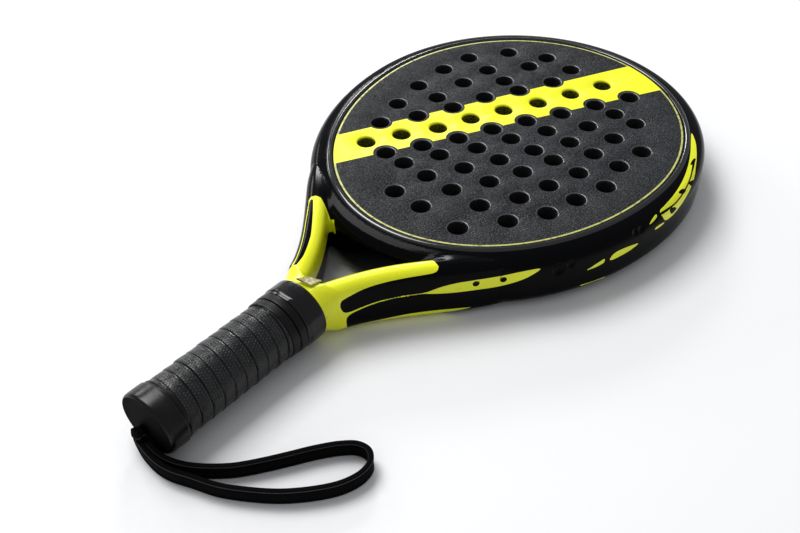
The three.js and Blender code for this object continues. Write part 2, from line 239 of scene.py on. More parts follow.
def foam_material(name, dark, pale, roughness, scale=1500, oversprayed=False):
    """Matt foam with fine open cells, or with paint sprayed unevenly over them."""
    s = Shader(name)
    cell = s.cells(scale)
    # Without overspray the colour darkens into each cell's pit, where the bump is low: painted
    # shade.
    cloud = s.spread(s.noise(700, 3, 0.6), 0.4, 0.6) if oversprayed else s.spread(cell, 0.1, 0.6)
    s.colour(s.mix(cloud, dark, pale))
    s.rough(cell, 0.0, 0.7, *roughness)
    s.bump(cell, 0.2, 0.6 if oversprayed else 0.7)
    return s.material


def grip_material():
    """Soft perforated wrap: fine leather grain, rows of pin holes along each turn, worn sheen.
    The UV map runs along the turn (U) and across it (V), one unit for each row of pin holes."""
    s = Shader("grip_wrap", Specular_IOR_Level=0.6)
    u, v = s.along()
    row = s.math("FLOOR", v)
    shifted = s.math("ADD", u, s.math("MULTIPLY", row, 0.5))
    across = s.math("SUBTRACT", s.math("FRACT", v), 0.5)
    along = s.math("SUBTRACT", s.math("FRACT", shifted), 0.5)
    reach = s.math("SQRT", s.math("ADD", s.math("POWER", along, 2.0), s.math("POWER", across, 2.0)))
    pin = s.spread(reach, 0.16, 0.30, 1.0, 0.0)
    grain = s.cells(1300, "SMOOTH_F1")
    crease = s.noise(190, 5, 0.65, distortion=0.4)
    # The tone is darker where the crease bump is low, in the valleys of the creases: painted shade.
    tone = s.mix(s.spread(crease, 0.38, 0.66), (0.002, 0.0023, 0.003), (0.012, 0.013, 0.0155))
    s.colour(s.tint(tone, pin, 0.85, (0.002, 0.002, 0.002)))
    s.rough(crease, 0.35, 0.7, 0.2, 0.44)
    low = s.bump(crease, 0.4, 0.8)
    mid = s.bump(grain, 0.12, 0.6, low)
    s.bump(s.math("MULTIPLY", pin, -1.0), 0.35, 0.9, mid)
    return s.material


def rubber_material(name, tone, roughness, shine=0.3):
    """Moulded black rubber or plastic: a fine satin texture and dull handling marks."""
    s = Shader(name, Specular_IOR_Level=shine)
    worn = s.spread(s.noise(55, 4, 0.65), 0.45, 0.7)
    speck = s.spread(s.noise(1600, 2, 0.5), 0.69, 0.76)
    base = s.tint(tone, worn, 0.6, tuple(c * 2.0 + 0.002 for c in tone))
    s.colour(s.tint(base, speck, 0.3, (0.05, 0.05, 0.05)))
    s.rough(worn, 0, 1, roughness, roughness + 0.16)
    s.bump(s.noise(1200, 3, 0.6), 0.05, 0.5)
    return s.material


def webbing_material():
    """Ribbed webbing: threads across the strap every 0.9 mm, and a stitched line by each edge.
    The UV map runs along the strap (U, in mm) and over its width (V, 0 to 1)."""
    s = Shader("webbing", Specular_IOR_Level=0.06)
    u, v = s.along()
    rib = s.math("ABSOLUTE", s.math("SINE", s.math("MULTIPLY", u, math.pi / 0.9)))
    thread = s.math("ABSOLUTE", s.math("SINE", s.math("MULTIPLY", v, math.pi * 14)))
    weave = s.math("MULTIPLY", rib, s.spread(thread, 0, 1, 0.6, 1.0))
    fuzz = s.noise(2600, 3, 0.7)
    # The tone is darker where the weave's bump is low, in the grooves between ribs and threads:
    # painted shade.
    tone = s.mix(weave, (0.0015, 0.0015, 0.002), (0.006, 0.006, 0.007))
    tone = s.mix(s.spread(fuzz, 0.55, 0.8, 0.0, 0.35), tone, (0.02, 0.02, 0.022))
    from_middle = s.math("ABSOLUTE", s.math("SUBTRACT", v, 0.5))
    stitch = s.math("MULTIPLY", s.spread(from_middle, 0.40, 0.42),
                    s.spread(from_middle, 0.445, 0.46, 1.0, 0.0))
    # The pale stitches fade in the grooves between the ribs: painted shade there too.
    s.colour(s.tint(tone, stitch, s.spread(rib, 0.2, 0.7, 0.1, 0.8), (0.16, 0.16, 0.165)))
    s.rough(fuzz, 0.3, 0.7, 0.55, 0.85)
    low = s.bump(weave, 0.28, 0.9)
    s.bump(fuzz, 0.08, 0.5, low)
    return s.material


def badge_material():
    """Pearl enamel, cream with a brown cloud in it."""
    s = Shader("badge_enamel", Metallic=0.2, Coat_Weight=0.7, Coat_Roughness=0.08)
    cloud = s.spread(s.noise(170, 4, 0.6), 0.4, 0.6)
    s.colour(s.mix(cloud, (0.80, 0.79, 0.56), (0.34, 0.29, 0.14)))
    s.rough(s.noise(900, 2, 0.5), 0.3, 0.7, 0.2, 0.32)
    s.bump(s.noise(1500, 2, 0.5), 0.02, 0.4)
    return s.material


def steel_material():
    """Plain steel with a drawn grain."""
    s = Shader("steel", Metallic=1.0)
    s.colour((0.45, 0.45, 0.46))
    s.rough(s.noise(900, 3, 0.6, stretch=(1, 8, 8)), 0.3, 0.7, 0.28, 0.45)
    s.bump(s.noise(1500, 3, 0.6), 0.03, 0.4)
    return s.material


def floor_material():
    """A white paper sweep with a faint tooth."""
    s = Shader("paper")
    s.colour(s.mix(s.noise(3, 2, 0.5), (0.855, 0.855, 0.862), (0.872, 0.872, 0.876)))
    s.rough(s.noise(200, 2, 0.5), 0.3, 0.7, 0.62, 0.75)
    s.bump(s.noise(900, 2, 0.5), 0.03, 0.15)
    return s.material


LACQUER = lacquer_material("black_lacquer", 0.08)
BEAD = lacquer_material("bead_lacquer", 1.0)
YELLOW = yellow_material()
FACE = face_material()
STRIPE = stripe_material()
PINSTRIPE = pinstripe_material()
FOAM = foam_material("core_foam", (0.004, 0.004, 0.005), (0.016, 0.016, 0.017), (0.65, 0.9))
TINTED_FOAM = foam_material("oversprayed_foam", (0.030, 0.033, 0.004), (0.20, 0.21, 0.010),
                            (0.5, 0.8), oversprayed=True)
HANDLE_FOAM = foam_material("handle_foam", (0.24, 0.23, 0.2), (0.36, 0.35, 0.31), (0.8, 0.9), 900)
GRIP = grip_material()
RUBBER = rubber_material("satin_rubber", (0.003, 0.003, 0.0035), 0.32)
RING = rubber_material("polished_plastic", (0.002, 0.0022, 0.003), 0.12, 0.5)
CAP = rubber_material("cap_plastic", (0.0015, 0.0015, 0.002), 0.26, 0.4)
CAP_END = rubber_material("cap_end", (0.001, 0.001, 0.0012), 0.6, 0.06)
# Light grey for the holes' rims: partly worn laminate, partly a painted highlight that makes the
# rims show as pale crescents.
WORN_AND_HIGHLIGHT_EDGE = rubber_material("worn_and_highlight_edge", (0.075, 0.077, 0.082), 0.22, 1.0)
WEBBING = webbing_material()
BADGE = badge_material()
STEEL = steel_material()
PAPER = floor_material()

# -------- meshes


def make_piece(name, points, faces, materials, face_materials=None, normals=None, uv=None):
    """A mesh object from points in millimetres. faces is a list of tuples, or one array."""
    mesh = bpy.data.meshes.new(name)
    mesh.from_pydata((np.reshape(points, (-1, 3)) * MM).tolist(), [],
                     faces.tolist() if isinstance(faces, np.ndarray) else faces)
    for material in materials:
        mesh.materials.append(material)
    if face_materials is not None:
        mesh.polygons.foreach_set("material_index", np.asarray(face_materials, np.int32))
    if uv is not None:
        corners = np.zeros(len(mesh.loops), np.int32)
        mesh.loops.foreach_get("vertex_index", corners)
        flat = np.reshape(uv, (-1, 2))[corners].astype(np.float32)
        mesh.uv_layers.new(name="along").data.foreach_set("uv", flat.ravel())
    mesh.polygons.foreach_set("use_smooth", np.full(len(mesh.polygons), True))
    mesh.update()
    if normals is not None:
        mesh.normals_split_custom_set_from_vertices(normals.tolist())
    piece = bpy.data.objects.new(name, mesh)
    bpy.context.scene.collection.objects.link(piece)
    return piece


def place(piece, slot, *nodes):
    """Hangs the piece on the racket's root, and hides the CAD nodes that it stands for."""
    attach(piece, "root")
    if nodes:
        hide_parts(*nodes)
    return piece


def spread_out(*parts):
    """One array of points or of UV places, from coordinates that broadcast to one grid."""
    return np.stack(np.broadcast_arrays(*parts), -1)


def unit(vectors):
    return vectors / np.linalg.norm(vectors, axis=-1, keepdims=True)


def full_turn(steps):
    return 2 * math.pi * np.arange(steps) / steps


def smooth_step(value, low, high):
    """Goes from 0 to 1 as the value goes from low to high, and starts and ends gently."""
    t = np.clip((value - low) / (high - low), 0, 1)
    return t * t * (3 - 2 * t)


def grid_faces(rows, columns, wrap_rows=False, wrap_columns=False):
    """Quads of a grid of points numbered row by row."""
    r = np.arange(rows if wrap_rows else rows - 1)
    c = np.arange(columns if wrap_columns else columns - 1)
    r, c = (a.ravel() for a in np.meshgrid(r, c, indexing="ij"))
    r2, c2 = (r + 1) % rows, (c + 1) % columns
    return np.stack([r * columns + c, r * columns + c2, r2 * columns + c2, r2 * columns + c], 1)


def tube_faces(rows, columns):
    """Quads of a tube of rings numbered ring by ring, and a flat face at each end."""
    faces = grid_faces(rows, columns, wrap_columns=True).tolist()
    last = (rows - 1) * columns
    return faces + [tuple(range(columns))[::-1], tuple(range(last, last + columns))]


def catmull(points, steps, closed=False):
    """A centripetal Catmull-Rom curve through the points, with this many points in each span."""
    p = np.asarray(points, float)
    ends = (p[-1], p[:2]) if closed else (2 * p[0] - p[1], 2 * p[-1] - p[-2])
    p = np.vstack([ends[0], p, ends[1]])

    def between(a, b, low, high):
        return a + (b - a) * (t - low) / (high - low)

    made = []
    for a, b, c, d in zip(p[:-3], p[1:-2], p[2:-1], p[3:]):
        k1, k2, k3 = np.cumsum([np.linalg.norm(step) ** 0.5 for step in (b - a, c - b, d - c)])
        t = np.linspace(k1, k2, steps, endpoint=False)[:, None]
        ab, bc, cd = between(a, b, 0, k1), between(b, c, k1, k2), between(c, d, k2, k3)
        made.append(between(between(ab, bc, 0, k2), between(bc, cd, k1, k3), k1, k2))
    return np.vstack(made if closed else [*made, p[-2]])


# -------- strap

STRAP_ROUTE = [
    (-5.2, -231.6, 9.3), (-4.3, -232, 8), (-2.2, -232.5, 6.6), (1.6, -233.3, 5.6),
    (6.4, -234.1, 5.1), (12.2, -234.7, 5), (18, -234.6, 5), (24.5, -233.4, 5),
    (34, -229.9, 5), (48, -225, 5), (60.5, -218, 5), (75, -207.5, 5),
    (87, -195, 5), (94.5, -184, 5), (97.8, -173, 5), (96.4, -164.6, 5),
    (91, -160, 5), (84.4, -160.8, 5), (77.6, -166.4, 5), (69.4, -177, 5),
    (62, -188.6, 5), (54.2, -200.4, 5), (46, -211.2, 5), (37, -219.6, 5),
    (28, -225.9, 5), (20, -229.4, 5), (13, -230.8, 5), (6.8, -230.7, 5.2),
    (1.6, -229.9, 6.2), (-1.5, -229.5, 7.7), (-2.6, -229.4, 9.3),
]
STRAP_EXIT = (-4.5, -227.5, 13)
STRAP_WIDTH = 10.0
STRAP_THICK = 3.0


def strap_section():
    """Half thickness and height round the webbing: thick stitched edges and a thinner middle."""
    high, thick = STRAP_WIDTH / 2 - 0.05, STRAP_THICK / 2
    side = [(0.55, high), (1.2, high - 0.2), (thick, high - 0.7), (thick, high - 1.4),
            (1.05, high - 1.75), (0.95, high - 2.1), (1.3, high - 2.5), (1.34, 0.0)]
    upper = side + [(w, -h) for w, h in side[-2::-1]]
    return np.array(upper + [(-w, -h) for w, h in upper])


def add_strap():
    """The webbing stands on its edge on the floor. Its two ends are bunched under the knot."""
    line = catmull(STRAP_ROUTE, 9)
    along = unit(np.gradient(line, axis=0))
    side = np.cross(along, (0, 0, 1.0))
    flat = np.flatnonzero(np.linalg.norm(side, axis=1) > 0.8)
    rows = np.arange(len(line))
    side = unit(side[flat[np.abs(rows[:, None] - flat[None, :]).argmin(1)]])
    up = np.cross(side, along)
    far = np.concatenate([[0], np.cumsum(np.linalg.norm(np.diff(line, axis=0), axis=1))])
    bunched = 0.45 + 0.55 * smooth_step(np.minimum(far, far[-1] - far), 0.0, 9.0)
    section = strap_section()
    rings = (line[:, None] + side[:, None] * section[None, :, :1]
             + up[:, None] * section[None, :, 1:] * bunched[:, None, None])
    rings[:, :, 2] = np.maximum(rings[:, :, 2], 0.03)
    uv = spread_out(far[:, None], section[:, 1] / STRAP_WIDTH + 0.5)
    strap = make_piece("strap", rings, tube_faces(*rings.shape[:2]), [WEBBING], uv=uv)
    place(strap, "webbing", "wrist_strap")
    return strap, line, far[-1]


def add_gather():
    """The stitched knot where the two ends of the strap leave the cap: a bulge bound by threads."""
    profile = [(-224.4, 2.2, 2), (-227.6, 2.4, 2.4), (-228.2, 3.4, 3.4), (-229.3, 4, 4.1),
               (-230, 3.4, 3.5), (-230.8, 4.1, 4.2), (-232, 4, 4), (-233, 3, 3),
               (-233.6, 1.4, 1.3)]
    y, half_x, half_z = catmull(profile, 5).T
    y, half_x, half_z = y[:, None], half_x[:, None], half_z[:, None]
    angle = full_turn(48)
    folds = 1 + 0.09 * np.sin(5 * angle + 0.8 * y) + 0.05 * np.sin(9 * angle - 1.7 * y)
    x = STRAP_EXIT[0] + half_x * np.cos(angle) * folds
    z = STRAP_EXIT[2] - 1.2 + half_z * np.sin(angle) * folds
    points = spread_out(x, y, z)
    gather = make_piece("strap_binding", points, tube_faces(*points.shape[:2]), [WEBBING],
                        uv=spread_out(-y, angle / 3))
    return place(gather, "webbing", "strap_gather")


strap, strap_line, strap_length = add_strap()
gather = add_gather()

# -------- plan of the frame


def hoop_point(degrees, inset):
    """Points of the head's outline, moved in by inset. 0 degrees is the right side, 90 the tip."""
    across, ahead = np.cos(np.radians(degrees)), np.sin(np.radians(degrees))
    reach = np.where(ahead >= 0, REACH_UP, REACH_DOWN)
    return spread_out((HALF_WIDTH - inset) * across, WIDEST_Y + (reach - inset) * ahead)


def bezier(a, b, c, d, steps):
    """A cubic curve from a to d that sets out towards b and arrives from c."""
    t = np.linspace(0, 1, steps + 1)[:, None]
    a, b, c, d = (np.array(p, float) for p in (a, b, c, d))
    return (1 - t) ** 3 * a + 3 * t * (1 - t) ** 2 * b + 3 * t * t * (1 - t) * c + t ** 3 * d


ARM_START_ANGLE = -35
ARM_END = (17.5, -118.0)
FRAME_END_Y = -121.0
NECK_END_Y = -107.0
COLLAR_Y = -112.5
arm_start = hoop_point(ARM_START_ANGLE, 0)
ARM_OUTER = bezier(arm_start, arm_start - (25, 44.5), (17.5, -84), ARM_END, 40)
THROAT_SIDE = bezier((2.2, -108), (7.5, -97), (14, -79.5), (36, -53.4), 30)


class PlanLine:
    """A line drawn in plan. Its distance is positive on the right-hand side of its direction."""

    def __init__(self, points):
        self.start = points[:-1]
        self.step = np.diff(points, axis=0)
        self.length = np.linalg.norm(self.step, axis=1)
        self.before = np.concatenate([[0], np.cumsum(self.length)[:-1]])

    def measure(self, x, y):
        """Signed distance from the line, and how far along it the nearest point is."""
        best = np.full(x.shape, np.inf)
        signed, along = np.zeros(x.shape), np.zeros(x.shape)
        segments = zip(self.start, self.step, self.length, self.before)
        for (sx, sy), (dx, dy), length, before in segments:
            px, py = x - sx, y - sy
            t = np.clip((px * dx + py * dy) / length ** 2, 0, 1)
            away = np.hypot(px - t * dx, py - t * dy)
            nearer = away < best
            best = np.where(nearer, away, best)
            side = np.where(px * dy >= py * dx, away, -away)
            signed = np.where(nearer, side, signed)
            along = np.where(nearer, before + t * length, along)
        return signed, along


# From the end of the arm in the handle, up the arm and round the head to the tip
OUTER_LINE = PlanLine(np.vstack([
    [(17.5, -126.0)], ARM_OUTER[::-1],
    hoop_point(np.arange(ARM_START_ANGLE + 2.5, 90.1, 2.5), 0)]))
THROAT_LINE = PlanLine(np.vstack([[(2.2, -128.0)], THROAT_SIDE, [(62.0, -22.6)]]))


def ellipse_distance(x, y, inset):
    """Nearly the distance from the head's outline moved in by inset, negative inside it."""
    half_x = HALF_WIDTH - inset
    half_y = np.where(y >= WIDEST_Y, REACH_UP, REACH_DOWN) - inset
    dx, dy = x / half_x, (y - WIDEST_Y) / half_y
    k0 = np.hypot(dx, dy)
    k1 = np.hypot(dx / half_x, dy / half_y)
    return k0 * (k0 - 1) / np.maximum(k1, 1e-6)


def round_max(a, b, radius):
    """The overlap of two fields, with the edge between them rounded."""
    a, b = a + radius, b + radius
    rounded = np.hypot(np.maximum(a, 0), np.maximum(b, 0))
    return np.minimum(np.maximum(a, b), 0) + rounded - radius


def smooth_min(a, b, reach):
    """Two fields joined, with a fillet of about that reach."""
    h = np.maximum(reach - np.abs(a - b), 0) / np.maximum(reach, 1e-6)
    return np.minimum(a, b) - h * h * reach / 4


# How far the top of the rim lies under the bead's crown, by how far in from the outside it is
DROP_AT = [-2, 0, 1.5, 3, 5, 7, 9, 10.5, 11.5, 16]
DROP = [6.6, 5.2, 4.2, 3.4, 2.5, 1.85, 1.35, 1.1, 1, 1]


def plan_distances(x, y):
    """The place in plan, and its distances from the lines that shape the frame."""
    side = np.abs(x)
    return {
        "x": x,
        "y": y,
        "rim": ellipse_distance(side, y, 0.0),
        "face": ellipse_distance(side, y, RIM - 0.4),
        "outer": OUTER_LINE.measure(side, y)[0],
        "throat": THROAT_LINE.measure(side, y)[0],
    }


def moulded_field(plan, z):
    """Distance from the surface of the moulded frame without its dents, negative inside it."""
    up = np.abs(z - MID_Z)
    rim, y = plan["rim"], plan["y"]
    bulge = 1.1 * (up / HALF_THICK) ** 2
    top = up - (HALF_THICK - np.interp(-rim, DROP_AT, DROP))
    ring = np.maximum(round_max(rim + bulge, top, 4.5), -plan["face"])

    arm_half = 18.4 - 1.6 * smooth_step(-y, 60, 114)
    wall = np.maximum(plan["outer"] + 1.4 * bulge, -plan["throat"] + bulge)
    arm = round_max(wall, up - arm_half, 5.8)
    arm = np.maximum(arm, 7.0 - plan["face"]) + 9.0 * smooth_step(y, -45, 25)
    arm = np.maximum(arm, FRAME_END_Y - y)
    apart = smooth_step(rim - plan["outer"], 0.5, 9.0)
    body = smooth_min(ring, arm, 5.0 * apart)

    neck = round_max(np.abs(plan["x"]) - 16.6, up - 16.0, 9.0)
    neck = np.maximum(neck, np.maximum(y - NECK_END_Y, FRAME_END_Y - y))
    body = smooth_min(body, neck, 5.0)

    # The arms draw in to an oval where the collar grips them
    above = np.maximum(y - COLLAR_Y, 0)
    grow = 0.2 * above + 0.06 * above ** 2
    half_x, half_z = 18.6 + grow, 17.3 + grow
    around = np.hypot(plan["x"] / half_x, up / half_z)
    oval = (around - 1) * np.minimum(half_x, half_z)
    return round_max(body, oval, 2.5)


def field_and_slope(points, field):
    """The field's value at each point, and the way out of the surface."""
    nudge = 0.02

    def value(x, y, z):
        return field(plan_distances(x, y), z)

    x, y, z = points.T
    here = value(x, y, z)
    ahead = value(x + nudge, y, z), value(x, y + nudge, z), value(x, y, z + nudge)
    return here, np.stack([there - here for there in ahead], 1) / nudge


# Shallow round dents on the outside wall: a place near the wall, the dent's radius and depth
DENTS = [
    ((98.5, 0.6, 26.5), 4.6, 1.7), ((102.6, 7, 28.6), 3.2, 1.2),
    ((118, 52.6, 32.4), 3, 0.9), ((119.3, 57.2, 32.2), 3, 0.9),
]


def dent_balls():
    """The balls that press the dents, on both sides of the racket."""
    places = np.array([place for place, _, _ in DENTS])
    value, slope = field_and_slope(places, moulded_field)
    balls = []
    out = unit(slope)
    for centre, way, (_, wide, deep) in zip(places - value[:, None] * out, out, DENTS):
        radius = (wide ** 2 + deep ** 2) / (2 * deep)
        balls.append((centre + way * (radius - deep), radius))
    return balls


DENT_BALLS = dent_balls()


def frame_field(plan, z):
    """Distance from the surface of the moulded frame, negative inside it."""
    body = moulded_field(plan, z)
    side = np.abs(plan["x"])
    for (x, y, height), radius in DENT_BALLS:
        away = np.sqrt((side - x) ** 2 + (plan["y"] - y) ** 2 + (z - height) ** 2)
        body = round_max(body, radius - away, 0.3)
    return body


# -------- surface of the frame


def surface_nets(values, origin, step):
    """Points and quads of the surface where a grid of values changes sign."""
    inside = values < 0
    corners = np.array(list(np.ndindex(2, 2, 2)))
    ways = np.eye(3, dtype=int)
    nx, ny, nz = (n - 1 for n in values.shape)
    count = sum(inside[i:i + nx, j:j + ny, k:k + nz].astype(np.int8) for i, j, k in corners)
    mixed = (count > 0) & (count < 8)
    number = np.full(mixed.shape, -1, np.int64)
    cells = np.argwhere(mixed)
    number[mixed] = np.arange(len(cells))
    total, hits = np.zeros((len(cells), 3)), np.zeros(len(cells))
    for corner in corners:
        for way in ways[::-1]:
            if (corner + way).max() > 1:
                continue
            here = values[tuple((cells + corner).T)]
            there = values[tuple((cells + corner + way).T)]
            crossed = (here < 0) != (there < 0)
            t = np.where(crossed, here / np.where(crossed, here - there, 1), 0)
            total += np.where(crossed[:, None], corner + t[:, None] * way, 0)
            hits += crossed
    points = (cells + total / hits[:, None]) * step + origin
    faces = []
    for axis in range(3):
        low = np.take(inside, range(inside.shape[axis] - 1), axis)
        high = np.take(inside, range(1, inside.shape[axis]), axis)
        edges = np.argwhere(low != high)
        du, dv = ways[(axis + 1) % 3], ways[(axis + 2) % 3]
        quad = np.stack([number[tuple((edges - o).T)] for o in (0 * du, du, du + dv, dv)], 1)
        outward = low[tuple(edges.T)]
        faces.append(np.where(outward[:, None], quad, quad[:, ::-1]))
    return points, np.vstack(faces)


def settle(points, rounds):
    """Moves points onto the true surface, and gives its normals there."""
    for _ in range(rounds):
        value, slope = field_and_slope(points, frame_field)
        share = value / np.maximum((slope ** 2).sum(1), 0.2)
        points = points - np.clip(share, -0.6, 0.6)[:, None] * slope
    _, slope = field_and_slope(points, frame_field)
    return points, slope / np.maximum(np.linalg.norm(slope, axis=1), 1e-9)[:, None]


def frame_surface():
    """Points and triangles of the frame's surface, each quad cut along its shorter diagonal."""
    step = 0.9
    low = np.array([-127.0, -123.0, -1.5])
    size = (np.array([127.0, 230.0, 39.5]) - low) / step
    x, y, z = (low[i] + step * np.arange(int(size[i]) + 1) for i in range(3))
    gx, gy = np.meshgrid(x, y, indexing="ij")
    plan = {key: value[:, :, None] for key, value in plan_distances(gx, gy).items()}
    values = frame_field(plan, z[None, None, :])
    points, quads = surface_nets(values, low, step)
    points, _ = settle(points, 3)
    first = np.linalg.norm(points[quads[:, 0]] - points[quads[:, 2]], axis=1)
    second = np.linalg.norm(points[quads[:, 1]] - points[quads[:, 3]], axis=1)
    short = (first <= second)[:, None]
    halves = [np.where(short, quads[:, [0, 1, 2]], quads[:, [1, 2, 3]]),
              np.where(short, quads[:, [0, 2, 3]], quads[:, [1, 3, 0]])]
    return points, np.vstack(halves)


def split_along(points, triangles, value):
    """Cuts triangles along the line where value is zero, so that the line runs along edges."""
    value = np.where(np.abs(value) < 0.02, 0.02, value)
    sign = value > 0
    corner = sign[triangles]
    positive = corner.sum(1)
    mixed = (positive == 1) | (positive == 2)
    cut, corner = triangles[mixed], corner[mixed]
    odd = np.where(positive[mixed] == 1, corner.argmax(1), (~corner).argmax(1))
    a, b, c = (cut[np.arange(len(cut)), (odd + i) % 3] for i in range(3))
    keys = [np.minimum(a, q) * len(points) + np.maximum(a, q) for q in (b, c)]
    unique, back = np.unique(np.concatenate(keys), return_inverse=True)
    p, q = unique // len(points), unique % len(points)
    t = (value[p] / (value[p] - value[q]))[:, None]
    added = points[p] + t * (points[q] - points[p])
    ab, ac = np.split(back + len(points), 2)
    pieces = [np.stack(three, 1) for three in ((a, ab, ac), (ab, b, c), (ab, c, ac))]
    return np.vstack([points, added]), np.vstack([triangles[~mixed], *pieces])


# -------- paint on the frame


MARGIN = 6.0


def outline_distance(u, v, outline):
    """Signed distance from a closed outline, positive inside it and never under -MARGIN."""
    outline = np.asarray(outline, float)
    best = np.full(u.shape, np.inf)
    inside = np.zeros(u.shape, bool)
    for (ax, ay), (bx, by) in zip(outline, np.roll(outline, -1, axis=0)):
        dx, dy = bx - ax, by - ay
        t = np.clip(((u - ax) * dx + (v - ay) * dy) / (dx * dx + dy * dy + 1e-12), 0, 1)
        best = np.minimum(best, np.hypot(u - ax - t * dx, v - ay - t * dy))
        if dy:
            inside ^= ((ay > v) != (by > v)) & (u < (v - ay) / dy * dx + ax)
    return np.where(inside, best, np.maximum(-best, -MARGIN))


# Outlines of the yellow paint and of the black shapes in it. U is how far along the outside line
# the place is, from the arm's end in the handle, and V how far up the wall it is from the middle,
# going on over the top. V is negative under the middle.
SLEEVE = [(-20, 60), (50, 48), (70, 37), (75.8, 32.4), (79.7, 28.3), (81.6, 23), (80.4, 19.6),
          (79.6, 0), (79.6, -10.4), (88, -11.4), (96, -12.8), (101.5, -13.7), (92, -17), (84, -24),
          (78, -34), (50, -48), (-20, -60)]
UPPER_BAND = [(22.7, 6.5), (23.6, 9.2), (26, 10.4), (29.3, 11.4), (35, 13.3), (41.1, 14.7),
              (51.3, 16.1), (62, 17), (73.3, 17.7), (78, 18.3), (80.4, 19.8), (81.8, 23),
              (95, 26), (98, 12), (95, 4), (73.8, 3.5), (64.9, 3.3), (54.7, 2.9), (44.5, 2.0),
              (34.1, 0), (28.8, -0.9), (25.2, -0.2), (23.3, 2.6)]
LOWER_BAND = [(26.1, -7), (26.7, -4.6), (29, -2.9), (33, -1.6), (38, -0.3), (46, 1.4), (54.6, 2.4),
              (64, 2.8), (76, 2.8), (95, 2), (112, 0), (112, -14), (96, -13.3), (88.1, -13.1),
              (76.6, -12.8), (61.2, -13.2), (48.3, -14.8), (37.9, -16.4), (30, -17.2),
              (27.2, -16.4), (26.2, -11)]
BLADE = [(71, 3.3), (74.5, 4), (82.2, 6.6), (91.5, 8.4), (100.9, 9.1), (118, 10.2), (128.8, 11.3),
         (141.5, 11.3), (135.7, 7), (130.3, 4.7), (118.4, 2.2), (103, 1.3), (88.2, 1.1),
         (78, 1.9)]
DASHES = [
    [(172.5, 0.9), (175.5, 2.2), (180, 3.9), (184.6, 4.9), (184.6, 2.2), (180, 0.9)],
    [(188.8, 2.6), (190.5, 5.4), (194, 6.7), (203, 6.3), (212, 4.2), (206, 2.3), (198, 1.5),
     (190, 1.5)],
    [(169.5, -11.2), (179, -11.6), (188.3, -12.3), (188.3, -13.3), (179, -12.9), (170, -12.3)],
    [(221.8, 14.4), (224, 16.7), (230.2, 18.9), (230, 16.7)],
    [(226.8, 8.3), (236.2, 7.8), (236.2, 6.9), (227, 7.1)],
]
PATCH = [(234.3, 19.2), (240, 20.4), (253, 22), (267, 23.8), (286, 26.2), (302, 27.8), (318, 28.7),
         (329, 28), (320, 25.2), (307.6, 23.2), (292, 20.4), (281.3, 16.8), (268.2, 13.2),
         (255, 9.8), (246, 7.6), (238, 8.3), (235, 12)]
PATCH_LINE = [(233, 17.4), (249, 16.2), (257, 17), (264, 18.2), (276, 20.4), (284, 22.2),
              (296, 24), (296, 23), (284, 20.9), (276, 19.1), (264, 16.9), (257, 15.7),
              (249, 14.9), (233, 16)]
PATCH_BREAKS = [
    [(243, 14.5), (247, 14), (250, 10.8), (246, 9.5), (243, 11)],
    [(258, 20.5), (263, 20.2), (266, 17), (261, 16.5)],
    [(272, 18.5), (277, 17.5), (280, 15), (274, 14)],
    [(290, 25), (297, 24.6), (300, 23), (293, 22.6)],
]
LEFT_SLEEVE = [(-20, 60), (60, 48), (74, 37), (77, 32), (80.6, 29.4), (82.4, 26), (82, 22.4),
               (79.6, 20), (76, 20), (76, 21), (78.6, 21.6), (79.6, 23), (78.4, 24.2),
               (66.4, 25), (45.8, 25.8), (28.4, 24.7), (21.6, 23.2), (20.6, 21), (25.2, 20.7),
               (40, 20.2), (59, 20.1), (76, 21), (76, 20), (59, 19), (40, 19.1), (25.2, 19.4),
               (20.6, 18.4), (19.6, 10), (19.6, -60), (-20, -60)]
PLUGS = [(102.8, 6.2), (119.4, 7.0)]
PLUG_R = 2.0
RIGHT_LIP_Z = 30.5
LEFT_LIP_Z = 21.0
THROAT_TAB = [(-31.5, 22.5), (-32, 30), (-29.5, 31), (-27, 23), (-28.5, 21)]


def wall_place(points):
    """Where points are on the wall: how far along it, how far up it, and how far into the arm."""
    side, y, up = np.abs(points[:, 0]), points[:, 1], points[:, 2] - MID_Z
    away, along = OUTER_LINE.measure(side, y)
    return along, np.where(up >= 0, up - away, up + away), THROAT_LINE.measure(side, y)[0]


def plug_value(points):
    """Positive inside the round seats of the side plugs."""
    u, v, _ = wall_place(points)
    return PLUG_R - np.minimum(*(np.hypot(u - pu, v - pv) for pu, pv in PLUGS))


def paint_value(points):
    """Positive where the paint is yellow, and zero along its edges."""
    x, y, z = points.T
    u, v, depth = wall_place(points)
    right = x > 0
    wall = np.abs(OUTER_LINE.measure(np.abs(x), y)[0])

    def inside(*outlines):
        rounded = [catmull(outline, 4, closed=True) for outline in outlines]
        return np.maximum.reduce([outline_distance(u, v, outline) for outline in rounded])

    # The throat's side of each arm is painted down to a lip, and the head's wall beside it isn't
    sleeve_v = np.where((depth < 3) & (z > 7), np.maximum(v, 31), v)
    in_notch = np.maximum(-103 - y, 0)
    bands = np.where(wall < 12, inside(UPPER_BAND, LOWER_BAND), -MARGIN)
    right_sleeve = np.minimum(outline_distance(u, sleeve_v, SLEEVE), -bands)
    left_sleeve = outline_distance(u, sleeve_v, LEFT_SLEEVE)
    lip = z - np.where(right, RIGHT_LIP_Z, LEFT_LIP_Z) + 6 * np.maximum(depth - 2, 0)
    sleeve = np.minimum(np.where(right, right_sleeve, left_sleeve), lip + 2 * in_notch)
    sleeve = np.minimum(sleeve, depth - 0.5 * np.maximum(u - 66, 0) + 3.0 + 4 * in_notch)

    at_the_tab = (y > -60) & (y < -48) & (depth < -1.0)
    tab = np.where(at_the_tab, outline_distance(x, z, THROAT_TAB), -MARGIN)
    patch = np.minimum(inside(PATCH), -inside(PATCH_LINE, *PATCH_BREAKS))
    trim = np.maximum(inside(BLADE, *DASHES), np.where(right, patch, -MARGIN))
    return np.maximum.reduce([sleeve, np.where(wall < 14, trim, -MARGIN), tab])


